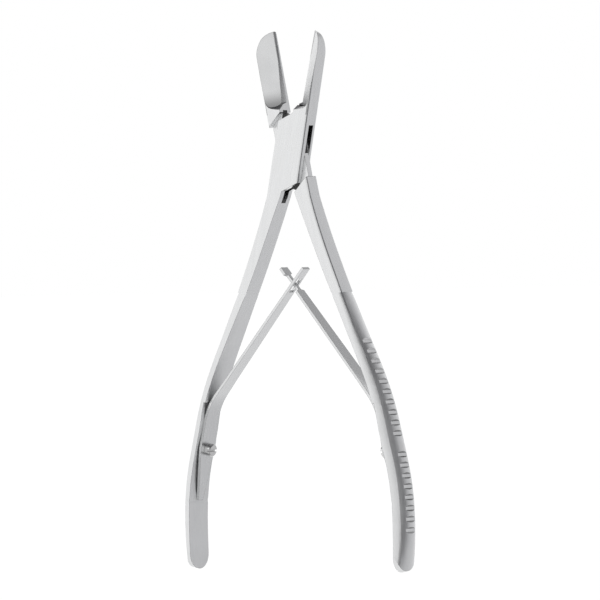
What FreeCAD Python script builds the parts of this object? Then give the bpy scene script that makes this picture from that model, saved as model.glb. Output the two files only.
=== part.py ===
import FreeCAD, Part
import math
import os
import Sketcher

# Bone cutting forceps with a box lock: two crossing halves, a pivot pin and two leaf springs.
#
# Both halves are drawn closed, with their blades meeting on the plane x = 0, and are then
# turned apart about the pivot by half the opening angle each. They are drawn about the middle
# plane of the head, and then set back so that the box's front face lies on y = 0. Y is the
# pivot axis, the front of the tool faces -Y, and +Z points to the blade tips.
# side is +1 for the box half, whose blade lies at +X, and -1 for the tongue half.

os.makedirs("parts", exist_ok=True)
doc = FreeCAD.newDocument("BoneForceps")
Vector = FreeCAD.Vector


# Driving dimensions, in millimetres and degrees

SIZES = [
    ("opening_angle", 23.4),
    # head: blades, box and the thick roots of the shanks
    ("head_depth", 6.2),
    ("jaw_length", 43.5),
    ("head_half_width", 6.3),
    ("tip_radius", 5.0),
    ("cheek_radius", 11.0),
    ("cheek_angle", 32.0),
    ("shoulder_height", 14.1),
    ("shoulder_rise", 0.68),
    ("shoulder_gap", 0.3),
    ("root_height", 16.5),
    ("edge_rounding", 0.8),
    # blades
    ("edge_land", 0.35),
    ("edge_land_root", 1.3),
    ("outer_land", 0.8),
    ("bevel_end", 17.0),
    ("bevel_end_radius", 4.0),
    ("bevel_end_centre", 3.9),
    ("bevel_corner", 1.8),
    ("strip_end", 1.0),
    ("run_out_angle", 32.0),
    ("strip_angle", 56.0),
    ("strip_rise", 0.8),
    # box lock
    ("slot_width", 2.4),
    ("slot_setback", 0.2),
    ("slot_reach", 17.6),
    ("slot_slant", 1.1),
    ("tongue_play", 0.06),
    ("tongue_inset", 0.5),
    ("pin_radius", 2.0),
    ("pin_play", 0.05),
    # springs and their screws
    ("seat_x", 19.35),
    ("seat_above_bend", 1.5),
    ("seat_below_foot", 0.5),
    ("seat_run_out", 6.0),
    ("seat_gap", 0.02),
    ("leaf_thickness", 1.0),
    ("leaf_bend", 95.5),
    ("leaf_bend_radius", 11.0),
    ("leaf_cross_height", 46.6),
    ("leaf_past_cross", 7.6),
    ("leaf_foot_end", 129.5),
    ("leaf_toe_half", 1.1),
    ("leaf_wide_half", 4.0),
    ("leaf_neck_half", 2.8),
    ("leaf_tip_half", 1.85),
    ("window_length", 6.6),
    ("window_width", 2.4),
    ("link_width", 1.4),
    ("link_above", 4.4),
    ("link_below", 3.0),
    ("screw_height", 111.0),
    ("screw_head_radius", 2.3),
    ("screw_head_height", 2.4),
    ("screw_chamfer", 0.35),
    ("screw_shank_radius", 1.2),
    ("screw_shank_length", 2.6),
    ("screw_slot_width", 0.8),
    ("screw_slot_depth", 1.1),
    ("thread_play", 0.03),
    ("leaf_hole_play", 0.1),
    ("drill_extra", 0.4),
    # grips
    ("groove_width", 2.2),
    ("groove_floor", 1.2),
    ("groove_depth", 0.5),
    ("groove_pitch", 3.8),
    ("groove_first", 71.5),
    ("upper_grooves", 10),
    ("lower_grooves", 8),
]

# Stations down a handle: drop below the station before, inner face, thickness, depth,
# rounding of the outer corners and radius of the outer crown.
# The shank starts at the box's root_height and the grip where the shank ends.
SHANK = [
    ("root", None, 0.35, 6.1, 6.2, 0.8, 60.0),
    ("neck", 12.0, 2.95, 5.1, 6.8, 0.8, 40.0),
    ("waist", 12.5, 5.75, 4.6, 7.0, 0.8, 40.0),
    ("jog", 12.0, 8.7, 4.2, 7.2, 0.8, 40.0),
]
GRIP = [
    ("shoulder", None, 8.7, 4.3, 7.4, 1.6, 8.0),
    ("slope", 13.0, 12.3, 4.2, 8.6, 2.0, 7.0),
    ("swell", 14.0, 16.0, 4.3, 9.6, 2.8, 6.2),
    ("heel", 14.0, 18.6, 4.4, 10.3, 3.2, 6.2),
    ("palm", 14.0, 19.5, 4.4, 10.6, 3.4, 6.2),
    ("low", 15.0, 19.8, 4.4, 10.6, 3.4, 6.2),
    ("tail", 13.0, 18.2, 4.4, 10.6, 3.4, 6.2),
    ("turn", 11.0, 15.8, 3.7, 10.5, 2.6, 8.0),
    ("end", 6.5, 14.3, 2.3, 10.4, 1.5, 12.0),
]
STATION_SIZES = ("drop", "inner", "thick", "depth", "corner", "crown")

sheet = doc.addObject("Spreadsheet::Sheet", "Sizes")


class Size:
    """A number together with the text of the expression that gives it."""

    def __init__(self, number, text):
        self.number = float(number)
        self.text = text

    def _join(self, other, sign, work, turned=False):
        if not isinstance(other, Size):
            other = Size(other, repr(float(other)))
        first, second = (other, self) if turned else (self, other)
        number = work(first.number, second.number)
        return Size(number, "(%s %s %s)" % (first.text, sign, second.text))

    def __add__(self, other):
        return self._join(other, "+", lambda a, b: a + b)

    def __radd__(self, other):
        return self._join(other, "+", lambda a, b: a + b, turned=True)

    def __sub__(self, other):
        return self._join(other, "-", lambda a, b: a - b)

    def __rsub__(self, other):
        return self._join(other, "-", lambda a, b: a - b, turned=True)

    def __mul__(self, other):
        return self._join(other, "*", lambda a, b: a * b)

    def __rmul__(self, other):
        return self._join(other, "*", lambda a, b: a * b, turned=True)

    def __truediv__(self, other):
        return self._join(other, "/", lambda a, b: a / b)

    def __neg__(self):
        return 0 - self


def sine(angle):
    return Size(math.sin(math.radians(angle.number)), "sin(%s)" % angle.text)


def cosine(angle):
    return Size(math.cos(math.radians(angle.number)), "cos(%s)" % angle.text)


def tangent(angle):
    return Size(math.tan(math.radians(angle.number)), "tan(%s)" % angle.text)


def arctangent(ratio):
    return Size(math.degrees(math.atan(ratio.number)), "atan(%s) / 1 deg" % ratio.text)


def square_root(size):
    return Size(math.sqrt(size.number), "sqrt(%s)" % size.text)


def fill_sheet():
    """Writes every driving dimension into the sheet and returns them by name."""
    stations = [(part, row) for part, rows in (("shank", SHANK), ("grip", GRIP)) for row in rows]
    rows = list(SIZES)
    for part, station in stations:
        for name, number in zip(STATION_SIZES, station[1:]):
            if number is not None:
                rows.append(("%s_%s_%s" % (part, station[0], name), number))
    named = {}
    for line, (name, number) in enumerate(rows, start=1):
        sheet.set("A%d" % line, name)
        sheet.set("B%d" % line, repr(float(number)))
        sheet.setAlias("B%d" % line, name)
        named[name] = Size(number, "Sizes." + name)
    doc.recompute()
    return named


size = fill_sheet()
NONE = Size(0, "0")

half_opening = size["opening_angle"] / 2
half_depth = size["head_depth"] / 2


# Sketch helpers

PLANE_TURN = {"XY_Plane": Vector(1, 0, 0), "XZ_Plane": Vector(0, 1, 0), "YZ_Plane": Vector(0, 1, 0)}


def new_sketch(body, name, plane, lift=NONE, turn=None):
    """A sketch on one of the body's own origin planes, lifted along its normal and turned."""
    sketch = body.newObject("Sketcher::SketchObject", body.Label + "_" + name)
    base = [o for o in body.Origin.OriginFeatures if o.Role == plane][0]
    sketch.AttachmentSupport = [(base, "")]
    sketch.MapMode = "FlatFace"
    angle = turn.number if turn else 0
    rotation = FreeCAD.Rotation(PLANE_TURN[plane], angle)
    sketch.AttachmentOffset = FreeCAD.Placement(Vector(0, 0, lift.number), rotation)
    sketch.setExpression("AttachmentOffset.Base.z", lift.text)
    if turn:
        sketch.setExpression("AttachmentOffset.Rotation.Angle", turn.text)
    return sketch


def fix(sketch, kind, geometry, end, measure):
    """Binds one coordinate of a point, or a radius, to a size."""
    if kind == "Radius":
        constraint = Sketcher.Constraint("Radius", geometry, measure.number)
    else:
        constraint = Sketcher.Constraint(kind, -1, 1, geometry, end, measure.number)
    index = sketch.addConstraint(constraint)
    sketch.setExpression("Constraints[%d]" % index, measure.text)


def arc_between(start, end, radius, turn):
    """The short arc from start to end; turn is +1 where it bends left on the way, or -1."""
    across = end - start
    middle = (start + end) / 2
    away = math.sqrt(max(radius * radius - across.Length ** 2 / 4, 0))
    normal = Vector(-across.y, across.x, 0)
    normal.normalize()
    centre = middle + normal * away * turn
    first = math.atan2(start.y - centre.y, start.x - centre.x)
    last = math.atan2(end.y - centre.y, end.x - centre.x)
    circle = Part.Circle(centre, Vector(0, 0, 1), radius)
    if turn > 0:
        return Part.ArcOfCircle(circle, first, last)
    return Part.ArcOfCircle(circle, last, first)


def outline(sketch, corners):
    """Closes a contour through corners (x, y), or (x, y, radius, turn) where an arc comes next."""
    places = [Vector(c[0].number, c[1].number, 0) for c in corners]
    first_edge = sketch.GeometryCount
    ends = []
    for i, corner in enumerate(corners):
        start = places[i]
        end = places[(i + 1) % len(places)]
        if len(corner) == 4:
            index = sketch.addGeometry(arc_between(start, end, corner[2].number, corner[3]), False)
            ends.append((index, 1, 2) if corner[3] > 0 else (index, 2, 1))
        else:
            index = sketch.addGeometry(Part.LineSegment(start, end), False)
            ends.append((index, 1, 2))
    for i, (index, _, last) in enumerate(ends):
        following = ends[(i + 1) % len(ends)]
        sketch.addConstraint(Sketcher.Constraint("Coincident", index, last, following[0], following[1]))
    for corner, (index, begin, _) in zip(corners, ends):
        fix(sketch, "DistanceX", index, begin, corner[0])
        fix(sketch, "DistanceY", index, begin, corner[1])
        if len(corner) == 4:
            fix(sketch, "Radius", index, 0, corner[2])
    return first_edge


def circle(sketch, x, y, radius):
    index = sketch.addGeometry(Part.Circle(Vector(x.number, y.number, 0), Vector(0, 0, 1), radius.number), False)
    fix(sketch, "DistanceX", index, 3, x)
    fix(sketch, "DistanceY", index, 3, y)
    fix(sketch, "Radius", index, 0, radius)


def mirrored(corners, side):
    """The same contour for either half: x changes sign and arcs bend the other way."""
    turned = []
    for corner in corners:
        if len(corner) == 4:
            turned.append((side * corner[0], corner[1], corner[2], side * corner[3]))
        else:
            turned.append((side * corner[0], corner[1]))
    return turned


def pad(body, name, sketch, length, symmetric=True):
    feature = body.newObject("PartDesign::Pad", body.Label + "_" + name)
    feature.Profile = sketch
    feature.SideType = "Symmetric" if symmetric else "One side"
    feature.Length = length.number
    feature.setExpression("Length", length.text)
    doc.recompute()
    return feature


def pocket(body, name, sketch, length=None, width=None, reverse=False):
    """Cuts the sketch right through, or to a width about its plane, or to a length on one side."""
    before = body.Shape.Volume
    feature = body.newObject("PartDesign::Pocket", body.Label + "_" + name)
    feature.Profile = sketch
    if width is not None:
        feature.SideType = "Symmetric"
        feature.Length = width.number
        feature.setExpression("Length", width.text)
    elif length is None:
        feature.Type = "ThroughAll"
        feature.SideType = "Symmetric"
    else:
        feature.SideType = "One side"
        feature.Length = length.number
        feature.setExpression("Length", length.text)
        feature.Reversed = reverse
    doc.recompute()
    if not body.Shape.Volume < before - 1e-4:
        raise RuntimeError("%s cut nothing" % feature.Name)
    return feature


def round_edges(body, name, edges, radius):
    carried = body.Tip
    fillet = body.newObject("PartDesign::Fillet", body.Label + "_" + name)
    fillet.Refine = False
    fillet.Base = (carried, edges)
    fillet.Radius = radius.number
    fillet.setExpression("Radius", radius.text)
    doc.recompute()


def new_body(label):
    body = doc.addObject("PartDesign::Body", label)
    body.Label = label
    return body


# Head outlines, drawn for the box half and mirrored for the tongue half

def shoulder(x):
    """Height of the slanting shoulder that runs across the box, at x."""
    return size["shoulder_height"] + size["shoulder_rise"] * x


def blade_corners(low):
    """Blade outline from the tip round two smooth arcs and down its outer side to a height."""
    tip = size["tip_radius"]
    cheek = size["cheek_radius"]
    angle = size["cheek_angle"]
    width = size["head_half_width"]
    centre_x = width - cheek + (cheek - tip) * cosine(angle)
    centre_z = size["jaw_length"] - square_root(tip * tip - centre_x * centre_x)
    return [
        (NONE, size["jaw_length"], tip, -1),
        (centre_x + tip * cosine(angle), centre_z + tip * sine(angle), cheek, -1),
        (width, centre_z - (cheek - tip) * sine(angle)),
        (width, low),
    ]


def box_head_corners():
    width = size["head_half_width"]
    root = size["shank_root_inner"]
    root_out = root + size["shank_root_thick"]
    return blade_corners(-shoulder(-width)) + [
        (NONE, -size["shoulder_height"]),
        (-root, -size["root_height"]),
        (-root_out, -size["root_height"]),
        (-width, shoulder(-width)),
        (NONE, size["shoulder_height"]),
    ]


def tongue_corners():
    width = size["head_half_width"] - size["tongue_inset"]
    gap = size["shoulder_gap"]
    overlap = 2 * gap
    return [
        (NONE, size["shoulder_height"] + gap + overlap),
        (NONE, size["shoulder_height"]),
        (-width, shoulder(-width)),
        (-width, -shoulder(-width)),
        (-width, -shoulder(-width) - gap - overlap),
        (NONE, -size["shoulder_height"] - gap - overlap),
        (NONE, -size["shoulder_height"]),
        (width, -shoulder(-width)),
        (width, shoulder(-width)),
        (width, shoulder(-width) + gap + overlap),
    ]


def tongue_blade_corners():
    gap = size["shoulder_gap"]
    width = size["head_half_width"]
    return blade_corners(shoulder(-width) + gap) + [(NONE, size["shoulder_height"] + gap)]


def tongue_root_corners():
    gap = size["shoulder_gap"]
    width = size["head_half_width"]
    root = size["shank_root_inner"]
    root_out = root + size["shank_root_thick"]
    return [
        (NONE, -size["shoulder_height"] - gap),
        (-root, -size["root_height"]),
        (-root_out, -size["root_height"]),
        (-width, -shoulder(-width) - gap),
    ]


def round_long_edges(body, name):
    """Rounds the front and back edges of the head's outer sides, and so the tip's smooth arcs."""
    depth = half_depth.number
    inside = size["head_half_width"].number / 2
    chosen = []
    for number, edge in enumerate(body.Shape.Edges, start=1):
        ends = [v.Point for v in edge.Vertexes]
        on_face = all(abs(abs(p.y) - depth) < 1e-6 for p in ends)
        outside = isinstance(edge.Curve, Part.Line) and min(abs(p.x) for p in ends) > inside
        upright = abs(ends[0].z - ends[-1].z) > 1 and abs(ends[0].y - ends[-1].y) < 1e-6
        if on_face and upright and outside:
            chosen.append("Edge%d" % number)
    round_edges(body, name, chosen, size["edge_rounding"])


# Handles

def add_up_drops():
    """Height of every station below the pivot."""
    heights = {}
    height = size["root_height"]
    for part, rows in (("shank", SHANK), ("grip", GRIP)):
        for station in rows:
            key = "%s_%s_" % (part, station[0])
            if station[1] is not None:
                height = height + size[key + "drop"]
            heights[key] = height
    return heights


station_height = add_up_drops()


def station_sketch(body, part, station, side):
    """One cross-section of a handle: flat inner face, rounded outer corners, crowned outside."""
    key = "%s_%s_" % (part, station[0])
    inner = side * size[key + "inner"]
    outer = side * (size[key + "inner"] + size[key + "thick"])
    half = size[key + "depth"] / 2
    corner = size[key + "corner"]
    crown = size[key + "crown"]
    sketch = new_sketch(body, key + "section", "XY_Plane", lift=-station_height[key])

    rise = half.number - corner.number
    crown_x = outer.number - side * crown.number
    corner_x = crown_x + side * math.sqrt((crown.number - corner.number) ** 2 - rise ** 2)
    share = crown.number / (crown.number - corner.number)
    touch = Vector(crown_x + (corner_x - crown_x) * share, rise * share, 0)
    top = Vector(corner_x, half.number, 0)
    inner_top = Vector(inner.number, half.number, 0)

    def flip(point):
        return Vector(point.x, -point.y, 0)

    turn = -side
    lines = [
        Part.LineSegment(flip(inner_top), inner_top),
        Part.LineSegment(inner_top, top),
        arc_between(top, touch, corner.number, turn),
        arc_between(touch, flip(touch), crown.number, turn),
        arc_between(flip(touch), flip(top), corner.number, turn),
        Part.LineSegment(flip(top), flip(inner_top)),
    ]
    for line in lines:
        sketch.addGeometry(line, False)
    begin, finish = (1, 2) if turn > 0 else (2, 1)
    add = sketch.addConstraint
    add(Sketcher.Constraint("Coincident", 0, 2, 1, 1))
    add(Sketcher.Constraint("Tangent", 1, 2, 2, begin))
    add(Sketcher.Constraint("Tangent", 2, finish, 3, begin))
    add(Sketcher.Constraint("Tangent", 3, finish, 4, begin))
    add(Sketcher.Constraint("Tangent", 4, finish, 5, 1))
    add(Sketcher.Constraint("Coincident", 5, 2, 0, 1))
    add(Sketcher.Constraint("Horizontal", 1))
    fix(sketch, "DistanceX", 0, 1, inner)
    fix(sketch, "DistanceX", 0, 2, inner)
    fix(sketch, "DistanceY", 0, 1, -half)
    fix(sketch, "DistanceY", 0, 2, half)
    fix(sketch, "Radius", 2, 0, corner)
    fix(sketch, "Radius", 3, 0, crown)
    fix(sketch, "Radius", 4, 0, corner)
    fix(sketch, "DistanceX", 3, 3, outer - side * crown)
    fix(sketch, "DistanceY", 3, 3, NONE)
    return sketch


def handle_loft(body, part, stations, side):
    sketches = [station_sketch(body, part, station, side) for station in stations]
    doc.recompute()
    loft = body.newObject("PartDesign::AdditiveLoft", body.Label + "_" + part)
    loft.Profile = sketches[0]
    loft.Sections = sketches[1:]
    loft.Ruled = False
    doc.recompute()
    return loft


def handle_span(shape, height):
    """Inner and outer x of a handle on its middle plane, at a height below the pivot."""
    reach = 200
    line = Part.makeLine(Vector(-reach, 0, -height), Vector(reach, 0, -height))
    places = [abs(v.X) for v in line.common(shape).Vertexes]
    return min(places), max(places)


def cut_grooves(body, side):
    """Flat-bottomed cross grooves along the outer crown of the grip, in two groups."""
    shape = body.Shape
    sketch = new_sketch(body, "grooves", "XZ_Plane")
    count = int(size["upper_grooves"].number + size["lower_grooves"].number)
    depth = size["groove_depth"].number
    floor = size["groove_floor"].number / 2
    lean = size["groove_width"].number / 2 - floor
    profile = [(-floor - 2 * lean, depth), (floor + 2 * lean, depth), (floor, -depth), (-floor, -depth)]
    step = 0.5
    for i in range(count):
        skip = 1 if i >= size["upper_grooves"].number else 0
        height = size["groove_first"].number + (i + skip) * size["groove_pitch"].number
        outer = handle_span(shape, height)[1]
        slope = (handle_span(shape, height + step)[1] - handle_span(shape, height - step)[1]) / (2 * step)
        length = math.hypot(1, slope)
        corners = []
        for along, out in profile:
            x = side * (outer + (along * slope + out) / length)
            z = -height + (out * slope - along) / length
            corners.append((Size(x, repr(x)), Size(z, repr(z))))
        outline(sketch, corners)
    pocket(body, "groove_cut", sketch)


def round_handle_end(body):
    """A half round across the end of the grip."""
    end = station_height["grip_end_"]
    half = size["grip_end_depth"] / 2
    wide = size["grip_tail_depth"]
    side_view = new_sketch(body, "end_side", "YZ_Plane")
    outline(side_view, [
        (-half, -end + half, half, 1),
        (NONE, -end, half, 1),
        (half, -end + half),
        (wide, -end + half),
        (wide, -end - half),
        (-wide, -end - half),
        (-wide, -end + half),
    ])
    pocket(body, "end_side_cut", side_view)


def cut_leaf_seat(body, side):
    """A flat seat for the leaf's foot on the inner face, with a blind hole for its screw."""
    seat = new_sketch(body, "seat", "XZ_Plane")
    top = size["leaf_bend"] - size["seat_above_bend"]
    bottom = size["leaf_foot_end"] + size["seat_below_foot"]
    inside = size["seat_x"] - 2 * size["leaf_thickness"]
    open_side = inside - size["seat_run_out"]
    outline(seat, mirrored([
        (open_side, -top),
        (open_side, -bottom - size["seat_run_out"]),
        (inside, -bottom - size["seat_run_out"]),
        (size["seat_x"], -bottom),
        (size["seat_x"], -top),
    ], side))
    pocket(body, "seat_cut", seat)

    hole = new_sketch(body, "screw_hole", "YZ_Plane", lift=side * size["seat_x"])
    circle(hole, NONE, -size["screw_height"], size["screw_shank_radius"] + size["thread_play"])
    deep = size["screw_shank_length"] + size["drill_extra"]
    pocket(body, "screw_hole_cut", hole, length=deep, reverse=side > 0)


def grind_frame(root, tip, front):
    """Frame of a ground flat: X across to its front edge, Y up the blade, Z square out of it."""
    across = front - root
    across.normalize()
    normal = across.cross(tip - root)
    normal.normalize()
    if normal.y > 0:
        normal = -normal
        across = -across
    up = normal.cross(across)
    return FreeCAD.Placement(root, FreeCAD.Rotation(across, up, normal, "XYZ"))


def grind_flat(body, name, frame, corners):
    """Cuts away all that stands out of a flat; its end walls lean back as the wheel runs out."""
    sketch = new_sketch(body, name, "XY_Plane")
    sketch.setExpression("AttachmentOffset.Base.z", None)
    sketch.AttachmentOffset = frame
    outline(sketch, corners)
    cut = pocket(body, name + "_cut", sketch, length=2 * size["head_depth"], reverse=True)
    cut.TaperAngle = size["run_out_angle"].number
    cut.setExpression("TaperAngle", size["run_out_angle"].text)
    doc.recompute()
    return cut


def grind_blade(body, side):
    """The long bevel and the steeper strip beside the cutting edge, ground from the front."""
    half = half_depth.number
    low = size["bevel_end"].number
    edge_root = half - size["edge_land_root"].number
    edge_tip = half - size["edge_land"].number
    reach = size["head_half_width"].number - size["outer_land"].number
    root = Vector(0, edge_root - size["strip_rise"].number, low)
    tip = Vector(0, edge_tip, size["jaw_length"].number)
    front = Vector(side * reach, -half, low)
    radius = size["bevel_end_radius"]
    wide = 2 * size["head_half_width"]
    top = size["jaw_length"] + radius
    frame = grind_frame(root, tip, front)
    hand = 1 if (frame.Rotation.multVec(Vector(1, 0, 0)).x > 0) == (side > 0) else -1
    centre = size["bevel_end_centre"]
    corner = size["bevel_corner"]
    rim = Size((front - root).Length, repr((front - root).Length))
    grind_flat(body, "bevel", frame, mirrored([
        (centre - radius, radius, radius, 1),
        (centre, NONE),
        (rim - corner, NONE, corner, 1),
        (rim, corner),
        (wide, corner),
        (wide, top),
        (centre - radius, top),
    ], hand))

    steep = math.radians(size["strip_angle"].number)
    root = Vector(0, edge_root, low)
    front = root + Vector(side * math.cos(steep), -math.sin(steep), 0)
    frame = grind_frame(root, tip, front)
    hand = 1 if (frame.Rotation.multVec(Vector(1, 0, 0)).x > 0) == (side > 0) else -1
    grind_flat(body, "strip", frame, mirrored([
        (-radius, size["strip_end"]),
        (wide, size["strip_end"]),
        (wide, top),
        (-radius, top),
    ], hand))


def finish_half(body, side):
    """What both halves share: shank, grip, blade, spring seat, rounded end and grooves."""
    handle_loft(body, "shank", SHANK, -side)
    handle_loft(body, "grip", GRIP, -side)
    grind_blade(body, side)
    cut_leaf_seat(body, -side)
    cut_grooves(body, -side)
    round_handle_end(body)
    open_half(body, side)


def open_half(thing, side):
    """Turns a piece that was drawn closed to where its half stands when the tool rests open."""
    turn = side * half_opening
    back = Vector(0, half_depth.number, 0)
    thing.Placement = FreeCAD.Placement(back, FreeCAD.Rotation(Vector(0, 1, 0), turn.number))
    thing.setExpression("Placement.Base.y", half_depth.text)
    thing.setExpression("Placement.Rotation.Angle", turn.text if side > 0 else "360 + %s" % turn.text)


def make_box_half():
    """Slotted box with the right-hand blade and the left-hand handle."""
    body = new_body("box_half")
    head = new_sketch(body, "head", "XZ_Plane")
    outline(head, box_head_corners())
    pad(body, "head_pad", head, size["head_depth"])
    round_long_edges(body, "head_rounding")

    finish_half(body, 1)

    slot = new_sketch(body, "slot", "XZ_Plane", lift=-size["slot_setback"])
    far = 2 * size["head_half_width"]
    drop = size["slot_slant"] * far
    reach = size["slot_reach"]
    outline(slot, [
        (NONE, reach),
        (-far, reach),
        (-far, -reach + drop),
        (NONE, -reach),
        (far, -reach),
        (far, reach - drop),
    ])
    pocket(body, "slot_cut", slot, width=size["slot_width"])

    bore = new_sketch(body, "pin_bore", "XZ_Plane")
    circle(bore, NONE, NONE, size["pin_radius"])
    pocket(body, "pin_bore_cut", bore)
    return body


def make_tongue_half():
    """Left-hand blade and right-hand handle, joined by the thin tongue inside the box."""
    body = new_body("tongue_half")
    tongue = new_sketch(body, "tongue", "XZ_Plane", lift=-size["slot_setback"])
    outline(tongue, mirrored(tongue_corners(), -1))
    pad(body, "tongue_pad", tongue, size["slot_width"] - 2 * size["tongue_play"])

    blocks = new_sketch(body, "blocks", "XZ_Plane")
    outline(blocks, mirrored(tongue_blade_corners(), -1))
    outline(blocks, mirrored(tongue_root_corners(), -1))
    pad(body, "block_pad", blocks, size["head_depth"])
    round_long_edges(body, "head_rounding")

    finish_half(body, -1)

    bore = new_sketch(body, "pin_bore", "XZ_Plane")
    circle(bore, NONE, NONE, size["pin_radius"] + size["pin_play"])
    pocket(body, "pin_bore_cut", bore)
    return body


def make_pivot_pin():
    """The pivot, ground flush with both faces of the box."""
    body = new_body("pivot_pin")
    end = new_sketch(body, "end", "XZ_Plane")
    circle(end, NONE, NONE, size["pin_radius"])
    pad(body, "shaft", end, size["head_depth"])
    open_half(body, 1)
    return body


# Leaf springs, drawn on the inner side of their closed half and mirrored for the other

def leaf_measures():
    """The free part's slope in the closed half, and how far up it crosses the other leaf."""
    back = size["seat_x"] - size["seat_gap"] - size["leaf_thickness"] / 2
    cross_x = size["leaf_cross_height"] * sine(half_opening)
    cross_z = size["leaf_cross_height"] * cosine(half_opening)
    over = back + cross_x
    up = size["leaf_bend"] - cross_z
    return over, up


def leaf_profile_corners():
    """Side profile: straight foot on the seat, one bend, and the straight free part."""
    over, up = leaf_measures()
    lean = arctangent(over / up)
    outer = size["seat_x"] - size["seat_gap"]
    inner = outer - size["leaf_thickness"]
    radius = size["leaf_bend_radius"]
    inner_radius = radius - size["leaf_thickness"]
    set_back = radius * tangent(lean / 2)
    bend = size["leaf_bend"]
    turn_over = radius * (1 - cosine(lean))
    turn_up = radius * sine(lean)
    inner_over = inner_radius * (1 - cosine(lean))
    inner_up = inner_radius * sine(lean)
    free = square_root(over * over + up * up) - set_back + size["leaf_past_cross"]
    run_over = free * sine(lean)
    run_up = free * cosine(lean)
    start = -bend - set_back
    return [
        (-outer, -size["leaf_foot_end"]),
        (-inner, -size["leaf_foot_end"]),
        (-inner, start, inner_radius, -1),
        (-inner + inner_over, start + inner_up),
        (-inner + inner_over + run_over, start + inner_up + run_up),
        (-outer + turn_over + run_over, start + turn_up + run_up),
        (-outer + turn_over, start + turn_up, radius, 1),
        (-outer, start),
    ]


def leaf_plan(linked):
    """Half-widths down the leaf, seen square to its foot; linked is the leaf with the link."""
    over, up = leaf_measures()
    fall = cosine(arctangent(over / up))
    cross = -size["leaf_cross_height"] * cosine(half_opening)
    tip = cross + size["leaf_past_cross"] * fall + size["leaf_thickness"]
    rows = [(size["leaf_tip_half"], tip)]
    if linked:
        rows.append((size["leaf_tip_half"], cross + size["link_above"] * fall))
        rows.append((size["link_width"] / 2, cross + size["link_above"] * fall))
        rows.append((size["link_width"] / 2, cross - size["link_below"] * fall))
        rows.append((size["leaf_tip_half"], cross - size["link_below"] * fall))
    rows.append((size["leaf_neck_half"], -size["leaf_bend"] + size["leaf_bend_radius"]))
    rows.append((size["leaf_wide_half"], -size["screw_height"]))
    rows.append((size["leaf_toe_half"], -size["leaf_foot_end"] - size["leaf_thickness"]))
    return rows


def make_leaf(label, side, linked):
    body = new_body(label)
    profile = new_sketch(body, "profile", "XZ_Plane")
    outline(profile, mirrored(leaf_profile_corners(), side))
    pad(body, "strip", profile, 4 * size["leaf_wide_half"])

    plan = new_sketch(body, "plan", "YZ_Plane")
    rows = leaf_plan(linked)
    wide = 3 * size["leaf_wide_half"]
    top = rows[0][1]
    bottom = rows[-1][1]
    for edge in (1, -1):
        corners = [(edge * half, height) for half, height in rows]
        outline(plan, corners + [(edge * wide, bottom), (edge * wide, top)])
    pocket(body, "plan_cut", plan)

    if not linked:
        over, up = leaf_measures()
        fall = cosine(arctangent(over / up))
        cross = -size["leaf_cross_height"] * cosine(half_opening)
        half_long = size["window_length"] * fall / 2
        half_wide = size["window_width"] / 2
        window = new_sketch(body, "window", "YZ_Plane")
        outline(window, [
            (-half_wide, cross - half_long),
            (half_wide, cross - half_long),
            (half_wide, cross + half_long),
            (-half_wide, cross + half_long),
        ])
        pocket(body, "window_cut", window)

    hole = new_sketch(body, "screw_hole", "YZ_Plane")
    circle(hole, NONE, -size["screw_height"], size["screw_shank_radius"] + size["leaf_hole_play"])
    pocket(body, "screw_hole_cut", hole)
    open_half(body, side)
    return body


def make_screw(label, side):
    """A slotted cheese-head screw that holds a leaf to its seat."""
    body = new_body(label)
    under = size["seat_x"] - size["seat_gap"] - size["leaf_thickness"] - size["seat_gap"]
    top = under - size["screw_head_height"]
    head = size["screw_head_radius"]
    shank = size["screw_shank_radius"]
    bottom = size["seat_x"] + size["screw_shank_length"]
    bevel = size["screw_chamfer"]
    axis = -size["screw_height"]
    profile = new_sketch(body, "profile", "XZ_Plane")
    outline(profile, mirrored([
        (-top, axis),
        (-top, axis + head - bevel),
        (-top - bevel, axis + head),
        (-under, axis + head),
        (-under, axis + shank),
        (-bottom + bevel, axis + shank),
        (-bottom, axis + shank - bevel),
        (-bottom, axis),
    ], side))
    turned = body.newObject("PartDesign::Revolution", label + "_turned")
    turned.Profile = profile
    turned.ReferenceAxis = (profile, ["Edge8"])
    turned.Angle = 360
    doc.recompute()

    slot = new_sketch(body, "slot", "XZ_Plane")
    half = size["screw_slot_width"] / 2
    deep = size["screw_slot_depth"]
    outline(slot, mirrored([
        (-top + deep, axis - half),
        (-top + deep, axis + half),
        (-top - deep, axis + half),
        (-top - deep, axis - half),
    ], side))
    pocket(body, "slot_cut", slot)
    open_half(body, side)
    return body


def check_and_export(bodies):
    doc.recompute()
    failed = [o.Name for o in doc.Objects if "Invalid" in o.State or "Error" in o.State]
    if failed:
        raise RuntimeError("failed features: %s" % failed)
    for body in bodies:
        shape = body.Shape
        if shape.isNull() or not shape.isValid() or len(shape.Solids) != 1:
            raise RuntimeError("%s has no single valid solid" % body.Label)
    for body in bodies:
        body.Shape.exportStep("parts/%s.step" % body.Label)


BODIES = [
    make_box_half(),
    make_tongue_half(),
    make_pivot_pin(),
    make_leaf("window_leaf", 1, linked=False),
    make_leaf("link_leaf", -1, linked=True),
    make_screw("window_leaf_screw", 1),
    make_screw("link_leaf_screw", -1),
]
check_and_export(BODIES)
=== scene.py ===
import math

import bmesh
import bpy
from mathutils import Matrix, Vector


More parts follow.
